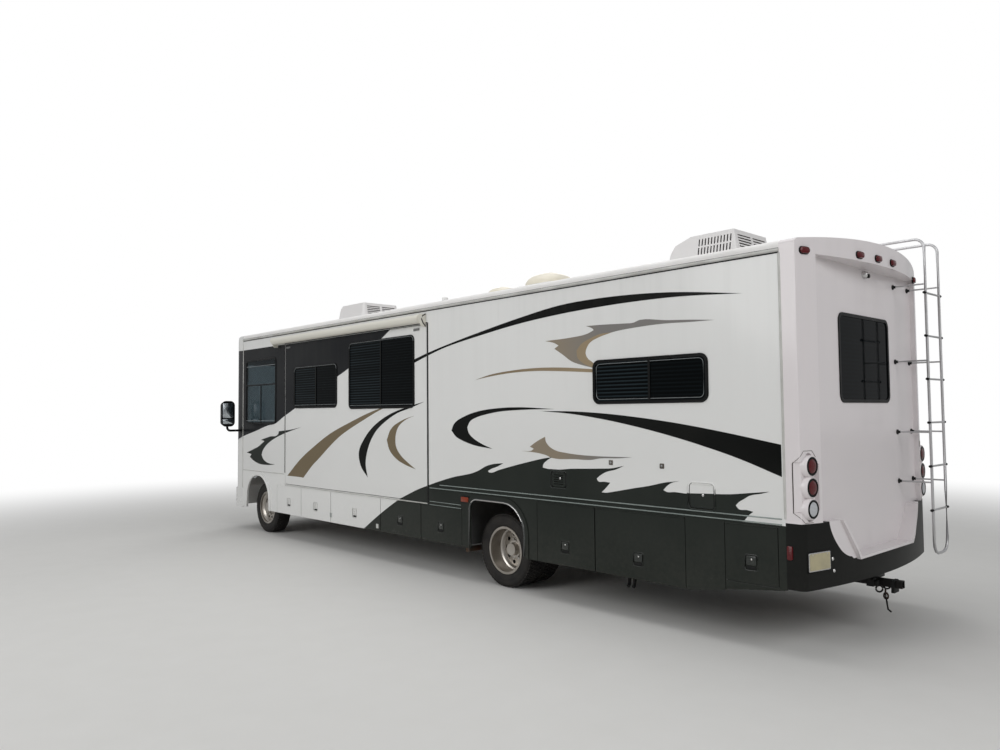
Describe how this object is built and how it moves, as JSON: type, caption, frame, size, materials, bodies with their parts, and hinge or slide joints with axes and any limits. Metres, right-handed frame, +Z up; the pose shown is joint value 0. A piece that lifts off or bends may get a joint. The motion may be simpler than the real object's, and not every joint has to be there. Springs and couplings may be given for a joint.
{
  "type": "motorhome",
  "caption": "Class A motorhome with hollow cabin, slide-out room, entry door, baggage doors, steered front wheels, twin rear wheels, roof units and rear ladder.",
  "frame": {"origin": "on the ground under the middle of the bounding box", "axes": "+X forward, +Y to the driver's side, +Z up"},
  "size_m": [10.89, 3.36, 3.7699],
  "materials": {
    "gelcoat": "glossy white gelcoat",
    "skirt_dark": "glossy dark green-black paint",
    "charcoal": "satin charcoal paint",
    "tinted_glass": "dark tint",
    "clear_glass": "light tint",
    "window_black": "satin black",
    "frame_steel": "chassis black",
    "cast": "rough",
    "tyre": "black rubber",
    "wheel_steel": "polished",
    "aluminium": "satin anodised",
    "white_plastic": "aged white",
    "lens_red": "clear red",
    "lens_clear": "clear",
    "mirror_black": "black",
    "trim_plastic": "grained",
    "seat_cloth": "woven cloth",
    "wood_floor": "laminate",
    "galvanised": "dull zinc",
    "roof_white": "weathered membrane"
  },
  "bodies": {
    "coach": {"air_conditioners": "white_plastic", "baggage_bays": "galvanised", "cab_seats": "seat_cloth", "chassis_frame": "frame_steel", "clear_lamps": "lens_clear", "dashboard": "trim_plastic", "engine_block": "cast", "exhaust": "galvanised", "floor": "wood_floor", "front_axle": "cast", "front_bumper": "gelcoat", "front_cap": "gelcoat", "front_grille": "window_black", "fuel_tank": "frame_steel", "ladder": "aluminium", "left_skirt": "skirt_dark", "left_wall": "gelcoat", "mirrors": "mirror_black", "rear_axle": "cast", "rear_bumper": "charcoal", "rear_cap": "gelcoat", "red_lamps": "lens_red", "right_skirt": "skirt_dark", "right_wall": "gelcoat", "roof": "roof_white", "roof_vents": "white_plastic", "window_frames": "window_black", "window_glass": "tinted_glass", "windshield": "clear_glass"},
    "slide_room": {"slide_room": "gelcoat", "slide_frames": "window_black", "slide_glass": "tinted_glass", "slide_topper": "aluminium"},
    "entry_door": {"entry_door": "gelcoat", "entry_glass": "tinted_glass"},
    "knuckle_left": {"knuckle_left": "cast"},
    "knuckle_right": {"knuckle_right": "cast"},
    "wheel_front_left": {"tyre_front_left": "tyre", "rim_front_left": "wheel_steel"},
    "wheel_front_right": {"tyre_front_right": "tyre", "rim_front_right": "wheel_steel"},
    "wheel_rear_left": {"tyre_rear_left": "tyre", "rim_rear_left": "wheel_steel"},
    "wheel_rear_right": {"tyre_rear_right": "tyre", "rim_rear_right": "wheel_steel"},
    "steering_wheel": {"steering_wheel": "trim_plastic"},
    "bay_door_l1": {"bay_door_l1": "gelcoat"},
    "bay_door_l2": {"bay_door_l2": "gelcoat"},
    "bay_door_l3": {"bay_door_l3": "gelcoat"},
    "bay_door_l4": {"bay_door_l4": "skirt_dark"},
    "bay_door_l5": {"bay_door_l5": "skirt_dark"},
    "bay_door_l6": {"bay_door_l6": "skirt_dark"},
    "bay_door_l7": {"bay_door_l7": "skirt_dark"},
    "bay_door_l8": {"bay_door_l8": "skirt_dark"},
    "bay_door_r1": {"bay_door_r1": "skirt_dark"},
    "bay_door_r2": {"bay_door_r2": "skirt_dark"},
    "bay_door_r3": {"bay_door_r3": "skirt_dark"},
    "bay_door_r4": {"bay_door_r4": "skirt_dark"},
    "water_hatch": {"water_hatch": "skirt_dark"},
    "power_hatch": {"power_hatch": "gelcoat"}
  },
  "joints": [
    {"name": "slide_out", "type": "slide", "parent": "coach", "child": "slide_room", "axis": [0, 1, 0], "range_m": [0, 0.7]},
    {"name": "entry_hinge", "type": "hinge", "parent": "coach", "child": "entry_door", "pos_m": [3.504, -1.2825, 1.66], "axis": [0, 0, 1], "range_deg": [0, 95]},
    {"name": "bay_door_l1_hinge", "type": "hinge", "parent": "coach", "child": "bay_door_l1", "pos_m": [3.31, 1.2825, 0.832], "axis": [1, 0, 0], "range_deg": [0, 90]},
    {"name": "bay_door_l2_hinge", "type": "hinge", "parent": "coach", "child": "bay_door_l2", "pos_m": [2.475, 1.2825, 0.832], "axis": [1, 0, 0], "range_deg": [0, 90]},
    {"name": "bay_door_l3_hinge", "type": "hinge", "parent": "coach", "child": "bay_door_l3", "pos_m": [1.395, 1.2825, 0.832], "axis": [1, 0, 0], "range_deg": [0, 90]},
    {"name": "bay_door_l4_hinge", "type": "hinge", "parent": "coach", "child": "bay_door_l4", "pos_m": [0.305, 1.2825, 0.832], "axis": [1, 0, 0], "range_deg": [0, 90]},
    {"name": "bay_door_l5_hinge", "type": "hinge", "parent": "coach", "child": "bay_door_l5", "pos_m": [-0.545, 1.2825, 0.832], "axis": [1, 0, 0], "range_deg": [0, 90]},
    {"name": "bay_door_l6_hinge", "type": "hinge", "parent": "coach", "child": "bay_door_l6", "pos_m": [-2.585, 1.2825, 1.018], "axis": [1, 0, 0], "range_deg": [0, 90]},
    {"name": "bay_door_l7_hinge", "type": "hinge", "parent": "coach", "child": "bay_door_l7", "pos_m": [-3.51, 1.2825, 1.018], "axis": [1, 0, 0], "range_deg": [0, 90]},
    {"name": "bay_door_l8_hinge", "type": "hinge", "parent": "coach", "child": "bay_door_l8", "pos_m": [-4.67, 1.2825, 1.018], "axis": [1, 0, 0], "range_deg": [0, 90]},
    {"name": "bay_door_r1_hinge", "type": "hinge", "parent": "coach", "child": "bay_door_r1", "pos_m": [2.1, -1.2825, 1.018], "axis": [-1, 0, 0], "range_deg": [0, 90]},
    {"name": "bay_door_r2_hinge", "type": "hinge", "parent": "coach", "child": "bay_door_r2", "pos_m": [0.9, -1.2825, 1.018], "axis": [-1, 0, 0], "range_deg": [0, 90]},
    {"name": "bay_door_r3_hinge", "type": "hinge", "parent": "coach", "child": "bay_door_r3", "pos_m": [-0.3, -1.2825, 1.018], "axis": [-1, 0, 0], "range_deg": [0, 90]},
    {"name": "bay_door_r4_hinge", "type": "hinge", "parent": "coach", "child": "bay_door_r4", "pos_m": [-2.6975, -1.2825, 1.018], "axis": [-1, 0, 0], "range_deg": [0, 90]},
    {"name": "water_hatch_hinge", "type": "hinge", "parent": "coach", "child": "water_hatch", "pos_m": [-2.505, 1.2825, 1.346], "axis": [1, 0, 0], "range_deg": [0, 100]},
    {"name": "power_hatch_hinge", "type": "hinge", "parent": "coach", "child": "power_hatch", "pos_m": [-4.21, 1.2825, 1.326], "axis": [1, 0, 0], "range_deg": [0, 100]},
    {"name": "steer_left", "type": "hinge", "parent": "coach", "child": "knuckle_left", "pos_m": [4.325, 0.805, 0.41], "axis": [0, 0, 1], "range_deg": [-32, 32]},
    {"name": "spin_front_left", "type": "hinge", "parent": "knuckle_left", "child": "wheel_front_left", "pos_m": [4.325, 1.0325, 0.41], "axis": [0, 1, 0], "continuous": true},
    {"name": "spin_rear_left", "type": "hinge", "parent": "coach", "child": "wheel_rear_left", "pos_m": [-1.535, 0.895, 0.41], "axis": [0, 1, 0], "continuous": true},
    {"name": "steer_right", "type": "hinge", "parent": "coach", "child": "knuckle_right", "pos_m": [4.325, -0.805, 0.41], "axis": [0, 0, 1], "range_deg": [-32, 32]},
    {"name": "spin_front_right", "type": "hinge", "parent": "knuckle_right", "child": "wheel_front_right", "pos_m": [4.325, -1.0325, 0.41], "axis": [0, 1, 0], "continuous": true},
    {"name": "spin_rear_right", "type": "hinge", "parent": "coach", "child": "wheel_rear_right", "pos_m": [-1.535, -0.895, 0.41], "axis": [0, 1, 0], "continuous": true},
    {"name": "steering_wheel_turn", "type": "hinge", "parent": "coach", "child": "steering_wheel", "pos_m": [4.54, 0.62, 1.64], "axis": [-0.7071, 0, 0.7071], "range_deg": [-540, 540]}
  ],
  "couplings": [
    {"joint": "steer_right", "follows": "steer_left", "ratio": 1}
  ]
}
